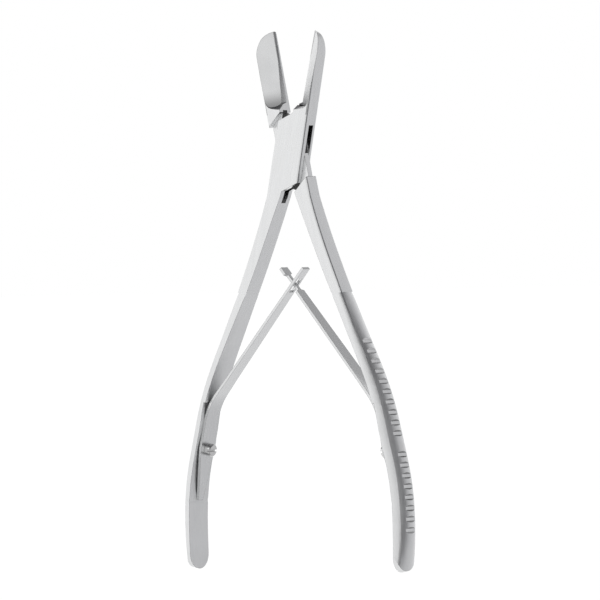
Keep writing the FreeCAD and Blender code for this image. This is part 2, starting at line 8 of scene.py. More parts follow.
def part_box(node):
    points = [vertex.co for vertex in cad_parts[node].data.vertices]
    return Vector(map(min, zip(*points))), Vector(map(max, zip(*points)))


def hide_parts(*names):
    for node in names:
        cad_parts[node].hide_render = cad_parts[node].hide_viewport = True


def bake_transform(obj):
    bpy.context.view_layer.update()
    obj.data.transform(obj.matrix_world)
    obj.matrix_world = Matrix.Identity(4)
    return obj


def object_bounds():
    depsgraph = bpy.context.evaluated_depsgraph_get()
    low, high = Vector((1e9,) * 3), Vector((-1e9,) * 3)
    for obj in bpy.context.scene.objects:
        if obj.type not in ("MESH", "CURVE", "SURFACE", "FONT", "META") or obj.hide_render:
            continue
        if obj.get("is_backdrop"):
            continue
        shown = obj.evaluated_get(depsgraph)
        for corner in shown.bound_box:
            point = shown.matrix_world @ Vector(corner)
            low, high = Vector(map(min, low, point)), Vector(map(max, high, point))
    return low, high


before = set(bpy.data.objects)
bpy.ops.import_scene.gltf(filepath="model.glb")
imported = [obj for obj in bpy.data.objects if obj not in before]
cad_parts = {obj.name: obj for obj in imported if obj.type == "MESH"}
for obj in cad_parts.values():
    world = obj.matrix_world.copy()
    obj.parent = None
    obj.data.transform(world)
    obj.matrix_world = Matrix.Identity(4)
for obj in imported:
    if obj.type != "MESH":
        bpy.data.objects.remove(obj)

bl_info = {
    "name": "Bone Cutting Forceps",
    "version": (1, 0, 0),
    "blender": (4, 5, 0),
    "location": "View3D > Sidebar > Forceps",
    "description": "Dresses the forceps' solids in steel, bends their leaf springs and lights them",
    "category": "Object",
}

# The row frame is in metres. The pivot's axis runs along Y through x = z = 0, and the middle
# plane of the tool lies halfway through the box.
BOX_LOW, BOX_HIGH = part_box("pivot_pin")
MIDDLE_Y = (BOX_LOW[1] + BOX_HIGH[1]) / 2
HALF_OPENING = math.radians(11.7)

# Heights in the open tool, between which the grips have their grooves and grow more satin
GROOVES_TOP = -0.066
GROOVES_BOTTOM = -0.142
SATIN_TOP = -0.045
SATIN_FULL = -0.085

# Heights on an upright half: the seam of shank and grip, and the lower end of a blade's hollow,
# where shade is painted
SHANK_SEAM = -0.053
SHANK_SEAM_REACH = 0.0007
HOLLOW_FADE = 0.0235
HOLLOW_END = 0.0165
HOLLOW_FOOT = 0.0145

# From the pivot's axis to just outside the pin
PIN_SEAM_REACH = 0.0024

# Likeness of two directions: 1 is the same, 0 is square to each other
# Faces of a blade's hollow that get the painted shade at its lower end
HOLLOW_STEEPEST = 0.8
HOLLOW_FLATTEST = 0.985
# Where the painted dark edge reflection starts and where it is full
EDGE_LINE_STARTS = 0.995
EDGE_LINE_FULL = 0.93
# Steep groove walls, which get painted shade
GROOVE_WALL_STARTS = 0.45
GROOVE_WALL_FULL = 0.6

# Satin grain: share of the broad streaks and their size beside the fine scratches
BROAD_SHARE = 0.4
BROAD_SCALE = 0.22
MARKS_PER_METRE = 140
SCRATCH_STRENGTH = 0.35
SCRATCH_DEPTH = 0.00001

# Handling marks: the part of their noise that shows and what it does to the roughness, beside
# what the grain does
MARK_RANGE = (0.35, 0.7)
MARK_ROUGHNESS = (-0.03, 0.04)
GRAIN_ON_ROUGHNESS = 0.9

# Leaf springs: width beside the widest at shares of the length from toe to tip, and the mesh,
# whose edges stay crisp where they turn by more than this angle in radians
LEAF_TAPER = ((0.0, 0.3), (0.19, 1.0), (0.47, 0.7), (1.0, 0.46))
LEAF_STEPS_ALONG = 200
LEAF_STEPS_ACROSS = 10
BEND_STEPS = 12
CRISP_ANGLE = 0.6
WELD_DISTANCE = 0.000005
WINDOW_EASE = 0.0001

# Studio, in metres and watts
FLOOR_RADIUS = 6.0
FLOOR_SEGMENTS = 96
FLOOR_DROP = 0.0005
LAMP_PLACE = (-0.9, -1.1, 0.9)
LAMP_WIDTH = 0.9
LAMP_POWER = 1.5
TOOL_CENTRE_HEIGHT = -0.05
GLOW_SHARE = 0.8
PAPER_SHARE = 0.9
ROOF_FADE = 0.2
PICTURE_WIDTH = 600
SENSOR_WIDTH = 36


def colour_property(name, description, colour):
    return bpy.props.FloatVectorProperty(
        name=name,
        description=description,
        subtype="COLOR",
        size=3,
        min=0,
        max=1,
        default=colour,
    )


def share_property(name, description, share):
    return bpy.props.FloatProperty(name=name, description=description, min=0, max=1, default=share)


def length_property(name, description, metres):
    return bpy.props.FloatProperty(
        name=name,
        description=description,
        subtype="DISTANCE",
        unit="LENGTH",
        precision=5,
        min=0,
        default=metres,
    )


class SteelSettings(bpy.types.PropertyGroup):
    """Colours and finish of the steel, with the colours of its painted shade and painted edge
    reflections.
    """

    body_colour: colour_property(
        "Body colour",
        "Satin steel of the two halves",
        (0.78, 0.785, 0.79),
    )
    spring_colour: colour_property(
        "Spring colour",
        "Rolled strip steel of the leaf springs",
        (0.72, 0.725, 0.73),
    )
    screw_colour: colour_property("Screw colour", "Turned steel of the screws", (0.7, 0.7, 0.7))
    grain_width: bpy.props.FloatProperty(
        name="Grain width",
        description="Width of one scratch of the satin grain",
        subtype="DISTANCE",
        unit="LENGTH",
        min=0.00002,
        max=0.002,
        default=0.00016,
    )
    # Painted dark reflection on the turn of the edges
    edge_reflection_colour: colour_property(
        "Edge colour",
        "Steel on the turn of an edge, which looks past the tent",
        (0.3, 0.3, 0.3),
    )
    # Painted shade: the colour towards which the box's slot, the grooves' walls and the lower end
    # of a blade's hollow are darkened
    painted_shade_colour: colour_property(
        "Slot colour",
        "Steel inside the box's slot and on the grooves' walls, where shade is painted",
        (0.06, 0.06, 0.06),
    )
    # Strength of the painted shade on the grooves' walls and at the lower end of a blade's hollow,
    # as shares of the slot's
    groove_dark: share_property(
        "Groove dark",
        "How dark the grooves' walls are beside the slot's inside",
        0.65,
    )
    hollow_dark: share_property(
        "Hollow dark",
        "How dark the lower end of a blade's hollow is beside the slot's inside",
        0.65,
    )
    head_roughness: share_property(
        "Head roughness",
        "Roughness of the blades, the box and the shanks",
        0.28,
    )
    grip_roughness: share_property("Grip roughness", "Roughness of the grips", 0.42)
    spring_roughness: share_property("Spring roughness", "Roughness of the rolled strip", 0.24)
    screw_roughness: share_property("Screw roughness", "Roughness of the turned screws", 0.22)
    edge_radius: length_property("Edge radius", "How far the polished edges look rounded", 0.0002)


class LeafSettings(bpy.types.PropertyGroup):
    """Shape of the leaf springs. Heights are below the pivot, in a half before it opens."""

    seat: length_property("Seat", "From the halves' middle to the middle of a leaf's foot", 0.01883)
    toe: length_property("Toe", "Height of a leaf's lower end", 0.1295)
    bend: length_property("Bend", "Height of the corner that the bend rounds off", 0.0955)
    bend_radius: length_property("Bend radius", "Radius of the bend's middle line", 0.022)
    crossing: length_property("Crossing", "Height where the leaves cross, in the open tool", 0.0466)
    past_crossing: length_property("Past crossing", "From the crossing to a leaf's tip", 0.0076)
    thickness: length_property("Thickness", "Thickness of the strip", 0.001)
    widest: length_property("Widest", "Half width at the screw", 0.004)
    window_length: length_property("Window length", "Length of the window in one leaf", 0.0066)
    window_width: length_property("Window width", "Width of the window in one leaf", 0.0024)
    link_width: length_property("Link width", "Width of the neck that passes the window", 0.0014)
    link_above: length_property("Link above", "From the crossing up to the neck's head", 0.0044)
    link_below: length_property("Link below", "From the crossing down to the full width", 0.003)


class StageSettings(bpy.types.PropertyGroup):
    """Camera, light and floor."""

    yaw: bpy.props.FloatProperty(
        name="Yaw",
        description="How far the camera stands round to the right of the front",
        subtype="ANGLE",
        unit="ROTATION",
        default=math.radians(38),
    )
    roll: bpy.props.FloatProperty(
        name="Roll",
        description="How far the camera leans clockwise",
        subtype="ANGLE",
        unit="ROTATION",
        default=math.radians(1.04),
    )
    distance: bpy.props.FloatProperty(
        name="Distance",
        description="From the camera to the pivot",
        subtype="DISTANCE",
        unit="LENGTH",
        min=0.1,
        default=3.0,
    )
    metres_per_pixel: bpy.props.FloatProperty(
        name="Metres per pixel",
        description="Scale of the picture at the pivot, for a picture 600 pixels wide",
        precision=6,
        min=0.00001,
        default=0.000352,
    )
    pivot_column: bpy.props.FloatProperty(
        name="Pivot column",
        description="Where the pivot stands in the picture, in pixels from the left",
        default=292.5,
    )
    pivot_row: bpy.props.FloatProperty(
        name="Pivot row",
        description="Where the pivot stands in the picture, in pixels from the top",
        default=152.0,
    )
    paper_colour: colour_property(
        "Paper colour",
        "Colour of the floor and of the tent's paper",
        (1.0, 1.0, 1.0),
    )
    gap_colour: colour_property(
        "Gap colour",
        "Darker room seen through the tent's gap, to the right of the camera",
        (0.14, 0.14, 0.145),
    )
    card_colour: colour_property(
        "Card colour",
        "Grey card to the right of the tool and a little behind it",
        (0.64, 0.64, 0.65),
    )
    dim_share: share_property(
        "Dim share",
        "Tone of the paper beside the gap, as a share of the rest",
        0.88,
    )
    roof_start: bpy.props.FloatProperty(
        name="Roof start",
        description="Sine of the height angle above which the tent is open and dark",
        min=0,
        max=0.8,
        default=0.5,
    )
    floor_glow: bpy.props.FloatProperty(
        name="Floor glow",
        description="How strongly the paper floor is lit from below",
        min=0,
        default=1.2,
    )


# Node helpers


def group_input(tree, name, kind, value=None):
    socket = tree.interface.new_socket(name=name, in_out="INPUT", socket_type=kind)
    if value is not None:
        socket.default_value = value


def group_output(tree, name, kind):
    tree.interface.new_socket(name=name, in_out="OUTPUT", socket_type=kind)


def add_node(tree, kind, label="", **values):
    node = tree.nodes.new(kind)
    node.label = label
    for name, value in values.items():
        setattr(node, name, value)
    return node


def join(tree, start, end):
    tree.links.new(start, end)


def brushed_grain_group():
    """Shader group: fine scratches that run along the tool, as tone, roughness and height."""
    tree = bpy.data.node_groups.get("brushed_grain")
    if tree:
        return tree
    tree = bpy.data.node_groups.new("brushed_grain", "ShaderNodeTree")
    group_input(tree, "Colour", "NodeSocketColor", (0.78, 0.78, 0.78, 1))
    group_input(tree, "Roughness", "NodeSocketFloat", 0.3)
    group_input(tree, "Lean", "NodeSocketVector", (0, 0, 0))
    group_input(tree, "Scratches per metre", "NodeSocketFloat", 6000)
    group_input(tree, "Stretch", "NodeSocketFloat", 0.03)
    group_input(tree, "Contrast", "NodeSocketFloat", 0.1)
    group_output(tree, "Colour", "NodeSocketColor")
    group_output(tree, "Roughness", "NodeSocketFloat")
    group_output(tree, "Height", "NodeSocketFloat")
    source = add_node(tree, "NodeGroupInput")
    result = add_node(tree, "NodeGroupOutput")

    place = add_node(tree, "ShaderNodeTexCoord", "place on the piece")
    turned = add_node(tree, "ShaderNodeMapping", "turned to the half", vector_type="POINT")
    join(tree, place.outputs["Object"], turned.inputs["Vector"])
    join(tree, source.outputs["Lean"], turned.inputs["Rotation"])
    parts = add_node(tree, "ShaderNodeSeparateXYZ")
    join(tree, turned.outputs["Vector"], parts.inputs[0])
    length = add_node(tree, "ShaderNodeMath", "along the tool", operation="MULTIPLY")
    join(tree, parts.outputs["Z"], length.inputs[0])
    join(tree, source.outputs["Stretch"], length.inputs[1])
    grain_place = add_node(tree, "ShaderNodeCombineXYZ")
    join(tree, parts.outputs["X"], grain_place.inputs["X"])
    join(tree, parts.outputs["Y"], grain_place.inputs["Y"])
    join(tree, length.outputs[0], grain_place.inputs["Z"])

    fine = add_node(tree, "ShaderNodeTexNoise", "fine scratches")
    fine.inputs["Detail"].default_value = 3
    fine.inputs["Roughness"].default_value = 0.6
    join(tree, grain_place.outputs[0], fine.inputs["Vector"])
    join(tree, source.outputs["Scratches per metre"], fine.inputs["Scale"])

    coarse_scale = add_node(tree, "ShaderNodeMath", "broader streaks", operation="MULTIPLY")
    coarse_scale.inputs[1].default_value = BROAD_SCALE
    join(tree, source.outputs["Scratches per metre"], coarse_scale.inputs[0])
    coarse = add_node(tree, "ShaderNodeTexNoise", "broad streaks")
    coarse.inputs["Detail"].default_value = 2
    join(tree, grain_place.outputs[0], coarse.inputs["Vector"])
    join(tree, coarse_scale.outputs[0], coarse.inputs["Scale"])

    cloud = add_node(tree, "ShaderNodeTexNoise", "handling marks")
    cloud.inputs["Scale"].default_value = MARKS_PER_METRE
    cloud.inputs["Detail"].default_value = 3
    join(tree, place.outputs["Object"], cloud.inputs["Vector"])

    both = add_node(tree, "ShaderNodeMix", "fine and broad", data_type="FLOAT")
    both.inputs["Factor"].default_value = BROAD_SHARE
    join(tree, fine.outputs["Fac"], both.inputs["A"])
    join(tree, coarse.outputs["Fac"], both.inputs["B"])

    signed = add_node(tree, "ShaderNodeMath", "about zero", operation="SUBTRACT")
    signed.inputs[1].default_value = 0.5
    join(tree, both.outputs["Result"], signed.inputs[0])
    scaled = add_node(tree, "ShaderNodeMath", "contrast", operation="MULTIPLY")
    join(tree, signed.outputs[0], scaled.inputs[0])
    join(tree, source.outputs["Contrast"], scaled.inputs[1])

    tone = add_node(tree, "ShaderNodeMath", "tone", operation="ADD")
    tone.inputs[1].default_value = 1.0
    join(tree, scaled.outputs[0], tone.inputs[0])
    tint = add_node(tree, "ShaderNodeVectorMath", "steel", operation="SCALE")
    join(tree, source.outputs["Colour"], tint.inputs[0])
    join(tree, tone.outputs[0], tint.inputs["Scale"])
    join(tree, tint.outputs[0], result.inputs["Colour"])

    marks = add_node(tree, "ShaderNodeMapRange", "handling marks")
    marks.inputs["From Min"].default_value = MARK_RANGE[0]
    marks.inputs["From Max"].default_value = MARK_RANGE[1]
    marks.inputs["To Min"].default_value = MARK_ROUGHNESS[0]
    marks.inputs["To Max"].default_value = MARK_ROUGHNESS[1]
    join(tree, cloud.outputs["Fac"], marks.inputs["Value"])
    rough = add_node(tree, "ShaderNodeMath", "grain on the roughness", operation="MULTIPLY_ADD")
    rough.inputs[1].default_value = GRAIN_ON_ROUGHNESS
    join(tree, scaled.outputs[0], rough.inputs[0])
    join(tree, source.outputs["Roughness"], rough.inputs[2])
    total = add_node(tree, "ShaderNodeMath", "with the marks", operation="ADD", use_clamp=True)
    join(tree, rough.outputs[0], total.inputs[0])
    join(tree, marks.outputs["Result"], total.inputs[1])
    join(tree, total.outputs[0], result.inputs["Roughness"])
    join(tree, both.outputs["Result"], result.inputs["Height"])
    return tree


def all_of(tree, masks):
    """1 where every mask is 1."""
    whole = masks[0]
    for mask in masks[1:]:
        both = add_node(tree, "ShaderNodeMath", operation="MULTIPLY")
        join(tree, whole, both.inputs[0])
        join(tree, mask, both.inputs[1])
        whole = both.outputs[0]
    return whole


def compared(tree, label, value, comparison, limit):
    """Mask from a value's comparison with a number or another socket."""
    node = add_node(tree, "ShaderNodeMath", label, operation=comparison)
    join(tree, value, node.inputs[0])
    if isinstance(limit, bpy.types.NodeSocket):
        join(tree, limit, node.inputs[1])
    else:
        node.inputs[1].default_value = limit
    return node.outputs[0]


def sheltered_group():
    """Shader group: 1 inside the box's slot, where shade is painted, 0 elsewhere, by the place on
    the piece.
    """
    tree = bpy.data.node_groups.get("sheltered_slot")
    if tree:
        return tree
    tree = bpy.data.node_groups.new("sheltered_slot", "ShaderNodeTree")
    group_input(tree, "Lean", "NodeSocketVector", (0, 0, 0))
    group_input(tree, "Middle", "NodeSocketFloat", MIDDLE_Y)
    group_input(tree, "Half slot", "NodeSocketFloat", 0.0012)
    group_input(tree, "Half box", "NodeSocketFloat", 0.006)
    group_input(tree, "Top", "NodeSocketFloat", 0.0172)
    group_input(tree, "Bottom", "NodeSocketFloat", -0.0185)
    group_output(tree, "Mask", "NodeSocketFloat")
    source = add_node(tree, "NodeGroupInput")
    result = add_node(tree, "NodeGroupOutput")
    place = add_node(tree, "ShaderNodeTexCoord")
    turned = add_node(tree, "ShaderNodeMapping", "turned to the box", vector_type="POINT")
    parts = add_node(tree, "ShaderNodeSeparateXYZ")
    join(tree, place.outputs["Object"], turned.inputs["Vector"])
    join(tree, source.outputs["Lean"], turned.inputs["Rotation"])
    join(tree, turned.outputs["Vector"], parts.inputs[0])

    depth = add_node(tree, "ShaderNodeMath", "from the middle plane", operation="SUBTRACT")
    join(tree, parts.outputs["Y"], depth.inputs[0])
    join(tree, source.outputs["Middle"], depth.inputs[1])
    off = add_node(tree, "ShaderNodeMath", "either side", operation="ABSOLUTE")
    join(tree, depth.outputs[0], off.inputs[0])
    aside = add_node(tree, "ShaderNodeMath", "left or right", operation="ABSOLUTE")
    join(tree, parts.outputs["X"], aside.inputs[0])
    height = parts.outputs["Z"]
    masks = [
        compared(tree, "within the slot", off.outputs[0], "LESS_THAN", source.outputs["Half slot"]),
        compared(tree, "within the box", aside.outputs[0], "LESS_THAN", source.outputs["Half box"]),
        compared(tree, "under its top", height, "LESS_THAN", source.outputs["Top"]),
        compared(tree, "over its bottom", height, "GREATER_THAN", source.outputs["Bottom"]),
    ]
    join(tree, all_of(tree, masks), result.inputs["Mask"])
    return tree


def facing(tree, label, direction):
    """How far a face looks in a direction: 1 is straight at it, -1 straight away."""
    surface = add_node(tree, "ShaderNodeNewGeometry")
    likeness = add_node(tree, "ShaderNodeVectorMath", label, operation="DOT_PRODUCT")
    likeness.inputs[1].default_value = direction
    join(tree, surface.outputs["True Normal"], likeness.inputs[0])
    return likeness.outputs["Value"]


def height_on_piece(tree):
    place = add_node(tree, "ShaderNodeTexCoord")
    parts = add_node(tree, "ShaderNodeSeparateXYZ")
    join(tree, place.outputs["Object"], parts.inputs[0])
    return parts.outputs["Z"]


def groove_wall_mask(tree, lean):
    """1 on the steep walls of the grip's grooves, where shade is painted: below the shanks, and
    facing along the handle.
    """
    along = facing(tree, "faces along the handle", (math.sin(lean), 0.0, math.cos(lean)))
    either = add_node(tree, "ShaderNodeMath", "up or down", operation="ABSOLUTE")
    join(tree, along, either.inputs[0])
    steep = add_node(tree, "ShaderNodeMapRange", "steep walls")
    steep.inputs["From Min"].default_value = GROOVE_WALL_STARTS
    steep.inputs["From Max"].default_value = GROOVE_WALL_FULL
    join(tree, either.outputs[0], steep.inputs["Value"])
    height = height_on_piece(tree)
    masks = [
        steep.outputs["Result"],
        compared(tree, "below the first groove's top", height, "LESS_THAN", GROOVES_TOP),
        compared(tree, "above the last groove's end", height, "GREATER_THAN", GROOVES_BOTTOM),
    ]
    return all_of(tree, masks)


def upright_height(tree, lean):
    """Height on a piece once its lean is taken away."""
    place = add_node(tree, "ShaderNodeTexCoord")
    upright = add_node(tree, "ShaderNodeMapping", "set upright", vector_type="POINT")
    upright.inputs["Rotation"].default_value = (0, lean, 0)
    parts = add_node(tree, "ShaderNodeSeparateXYZ")
    join(tree, place.outputs["Object"], upright.inputs["Vector"])
    join(tree, upright.outputs["Vector"], parts.inputs[0])
    return parts.outputs["Z"]


def hollow_end_mask(tree, lean):
    """1 where a blade's ground hollow runs out above the box, fading up the blade; shade is painted
    there.
    """
    height = upright_height(tree, lean)
    fade = add_node(tree, "ShaderNodeMapRange", "up the blade", interpolation_type="SMOOTHSTEP")
    fade.inputs["From Min"].default_value = HOLLOW_FADE
    fade.inputs["From Max"].default_value = HOLLOW_END
    join(tree, height, fade.inputs["Value"])
    front = facing(tree, "faces the front", (0, -1, 0))
    masks = [
        fade.outputs["Result"],
        compared(tree, "above the box", height, "GREATER_THAN", HOLLOW_FOOT),
        compared(tree, "not the edge's strip", front, "GREATER_THAN", HOLLOW_STEEPEST),
        compared(tree, "not the front face", front, "LESS_THAN", HOLLOW_FLATTEST),
    ]
    return all_of(tree, masks)


def edge_reflection_mask(tree, edges):
    """1 on the turn of an edge, where a dark reflection is painted, and 0 on the flats, from how
    far the softened normal swings.
    """
    surface = add_node(tree, "ShaderNodeNewGeometry")
    likeness = add_node(tree, "ShaderNodeVectorMath", "still square", operation="DOT_PRODUCT")
    line = add_node(tree, "ShaderNodeMapRange", "edge line", interpolation_type="SMOOTHSTEP")
    line.inputs["From Min"].default_value = EDGE_LINE_STARTS
    line.inputs["From Max"].default_value = EDGE_LINE_FULL
    join(tree, edges.outputs["Normal"], likeness.inputs[0])
    join(tree, surface.outputs["Normal"], likeness.inputs[1])
    join(tree, likeness.outputs["Value"], line.inputs["Value"])
    return line.outputs["Result"]


def away_from_seams(tree, lean):
    """0 at the pin's seam and at the one between shank and grip, which are polished over, so no
    dark edge reflection is painted there.
    """
    place = add_node(tree, "ShaderNodeTexCoord")
    flat = add_node(tree, "ShaderNodeVectorMath", "seen along the pin", operation="MULTIPLY")
    flat.inputs[1].default_value = (1, 0, 1)
    reach = add_node(tree, "ShaderNodeVectorMath", "distance from the axis", operation="LENGTH")
    seam = add_node(tree, "ShaderNodeMath", "at the shank's seam", operation="COMPARE")
    seam.inputs[1].default_value = SHANK_SEAM
    seam.inputs[2].default_value = SHANK_SEAM_REACH
    away = add_node(tree, "ShaderNodeMath", "clear of both", operation="SUBTRACT", use_clamp=True)
    join(tree, place.outputs["Object"], flat.inputs[0])
    join(tree, flat.outputs["Vector"], reach.inputs[0])
    distance = reach.outputs["Value"]
    clear = compared(tree, "clear of the pin", distance, "GREATER_THAN", PIN_SEAM_REACH)
    join(tree, upright_height(tree, lean), seam.inputs[0])
    join(tree, clear, away.inputs[0])
    join(tree, seam.outputs[0], away.inputs[1])
    return away.outputs[0]


def steel_material(
    name,
    colour,
    roughness,
    lean=0.0,
    scratches=6000,
    stretch=0.03,
    contrast=0.3,
    seams=False,
):
    """Satin steel whose grain runs along a line that leans by an angle about Y, with a dark
    reflection painted on the turn of its edges.
    """
    settings = bpy.context.scene.forceps_steel
    material = bpy.data.materials.new(name)
    material.use_nodes = True
    tree = material.node_tree
    tree.nodes.clear()
    output = add_node(tree, "ShaderNodeOutputMaterial")
    steel = add_node(tree, "ShaderNodeBsdfPrincipled", "steel")
    steel.inputs["Metallic"].default_value = 1.0
    grain = add_node(tree, "ShaderNodeGroup", "grain", node_tree=brushed_grain_group())
    grain.inputs["Colour"].default_value = (*colour, 1)
    grain.inputs["Roughness"].default_value = roughness
    grain.inputs["Lean"].default_value = (0, lean, 0)
    grain.inputs["Scratches per metre"].default_value = scratches
    grain.inputs["Stretch"].default_value = stretch
    grain.inputs["Contrast"].default_value = contrast
    join(tree, grain.outputs["Roughness"], steel.inputs["Roughness"])
    edges = add_node(tree, "ShaderNodeBevel", "softened edges", samples=6)
    edges.inputs["Radius"].default_value = settings.edge_radius
    # Painted dark reflection on the turn of every edge, mixed into the steel's colour
    line = add_node(tree, "ShaderNodeMix", "painted edge reflections", data_type="RGBA", clamp_factor=True)
    line.inputs["B"].default_value = (*settings.edge_reflection_colour, 1)
    shown = edge_reflection_mask(tree, edges)
    softened = edges.outputs["Normal"]
    if seams:
        away = away_from_seams(tree, lean)
        shown = all_of(tree, [shown, away])
        surface = add_node(tree, "ShaderNodeNewGeometry")
        flat = add_node(tree, "ShaderNodeMix", "flat at the seams", data_type="VECTOR")
        join(tree, away, flat.inputs["Factor"])
        join(tree, surface.outputs["Normal"], flat.inputs["A"])
        join(tree, softened, flat.inputs["B"])
        softened = flat.outputs["Result"]
    join(tree, shown, line.inputs["Factor"])
    join(tree, grain.outputs["Colour"], line.inputs["A"])
    join(tree, line.outputs["Result"], steel.inputs["Base Color"])
    bump = add_node(tree, "ShaderNodeBump", "scratches")
    bump.inputs["Strength"].default_value = SCRATCH_STRENGTH
    bump.inputs["Distance"].default_value = SCRATCH_DEPTH
    join(tree, grain.outputs["Height"], bump.inputs["Height"])
    join(tree, softened, bump.inputs["Normal"])
    join(tree, bump.outputs["Normal"], steel.inputs["Normal"])
    join(tree, steel.outputs["BSDF"], output.inputs["Surface"])
    return material


def labelled(tree, label):
    return next(node for node in tree.nodes if node.label == label)


def half_material(name, lean, per_metre):
    """Steel of a half: polished head, satin grips, and painted shade in the box's slot, on the
    grooves' walls and at the lower end of each blade's hollow.
    """
    settings = bpy.context.scene.forceps_steel
    material = steel_material(
        name, settings.body_colour, settings.head_roughness, lean, per_metre, seams=True
    )
    tree = material.node_tree
    steel, grain, line = (labelled(tree, label) for label in ("steel", "grain", "painted edge reflections"))
    # Painted shade inside the box's slot, on the grooves' walls and at the lower end of each
    # blade's hollow
    slot = add_node(tree, "ShaderNodeGroup", "inside the slot", node_tree=sheltered_group())
    slot.inputs["Lean"].default_value = (0, -HALF_OPENING, 0)
    dark = add_node(tree, "ShaderNodeMath", "slot or groove wall", operation="MULTIPLY_ADD")
    dark.inputs[1].default_value = settings.groove_dark
    join(tree, groove_wall_mask(tree, -lean), dark.inputs[0])
    join(tree, slot.outputs["Mask"], dark.inputs[2])
    shade = add_node(tree, "ShaderNodeMath", "with the hollow's end", operation="MULTIPLY_ADD")
    shade.use_clamp = True
    shade.inputs[1].default_value = settings.hollow_dark
    join(tree, hollow_end_mask(tree, lean), shade.inputs[0])
    join(tree, dark.outputs[0], shade.inputs[2])
    tone = add_node(tree, "ShaderNodeMix", "painted shade mix", data_type="RGBA")
    tone.inputs["B"].default_value = (*settings.painted_shade_colour, 1)
    join(tree, shade.outputs[0], tone.inputs["Factor"])
    join(tree, line.outputs["Result"], tone.inputs["A"])
    join(tree, tone.outputs["Result"], steel.inputs["Base Color"])

    satin = add_node(tree, "ShaderNodeMapRange", "more satin down the grips")
    satin.inputs["From Min"].default_value = SATIN_TOP
    satin.inputs["From Max"].default_value = SATIN_FULL
    satin.inputs["To Max"].default_value = settings.grip_roughness - settings.head_roughness
    rough = add_node(tree, "ShaderNodeMath", "with the satin", operation="ADD", use_clamp=True)
    join(tree, height_on_piece(tree), satin.inputs["Value"])
    join(tree, grain.outputs["Roughness"], rough.inputs[0])
    join(tree, satin.outputs["Result"], rough.inputs[1])
    join(tree, rough.outputs[0], steel.inputs["Roughness"])
    return material


def dress(node, material):
    """Gives every slot of a CAD node the material."""
    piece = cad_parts[node]
    if not piece.material_slots:
        piece.data.materials.append(material)
    for slot in piece.material_slots:
        slot.material = material


class FORCEPS_OT_halves(bpy.types.Operator):
    """Satin steel on the two halves and on the flush pivot pin."""

    bl_idname = "forceps.halves"
    bl_label = "Halves and Pin"

    def execute(self, context):
        settings = context.scene.forceps_steel
        per_metre = 1 / settings.grain_width
        dress("box_half", half_material("satin_box_half", -HALF_OPENING, per_metre))
        dress("tongue_half", half_material("satin_tongue_half", HALF_OPENING, per_metre))
        pin = steel_material(
            "satin_pin",
            settings.body_colour,
            settings.head_roughness,
            -HALF_OPENING,
            per_metre,
            seams=True,
        )
        dress("pivot_pin", pin)
        return {"FINISHED"}


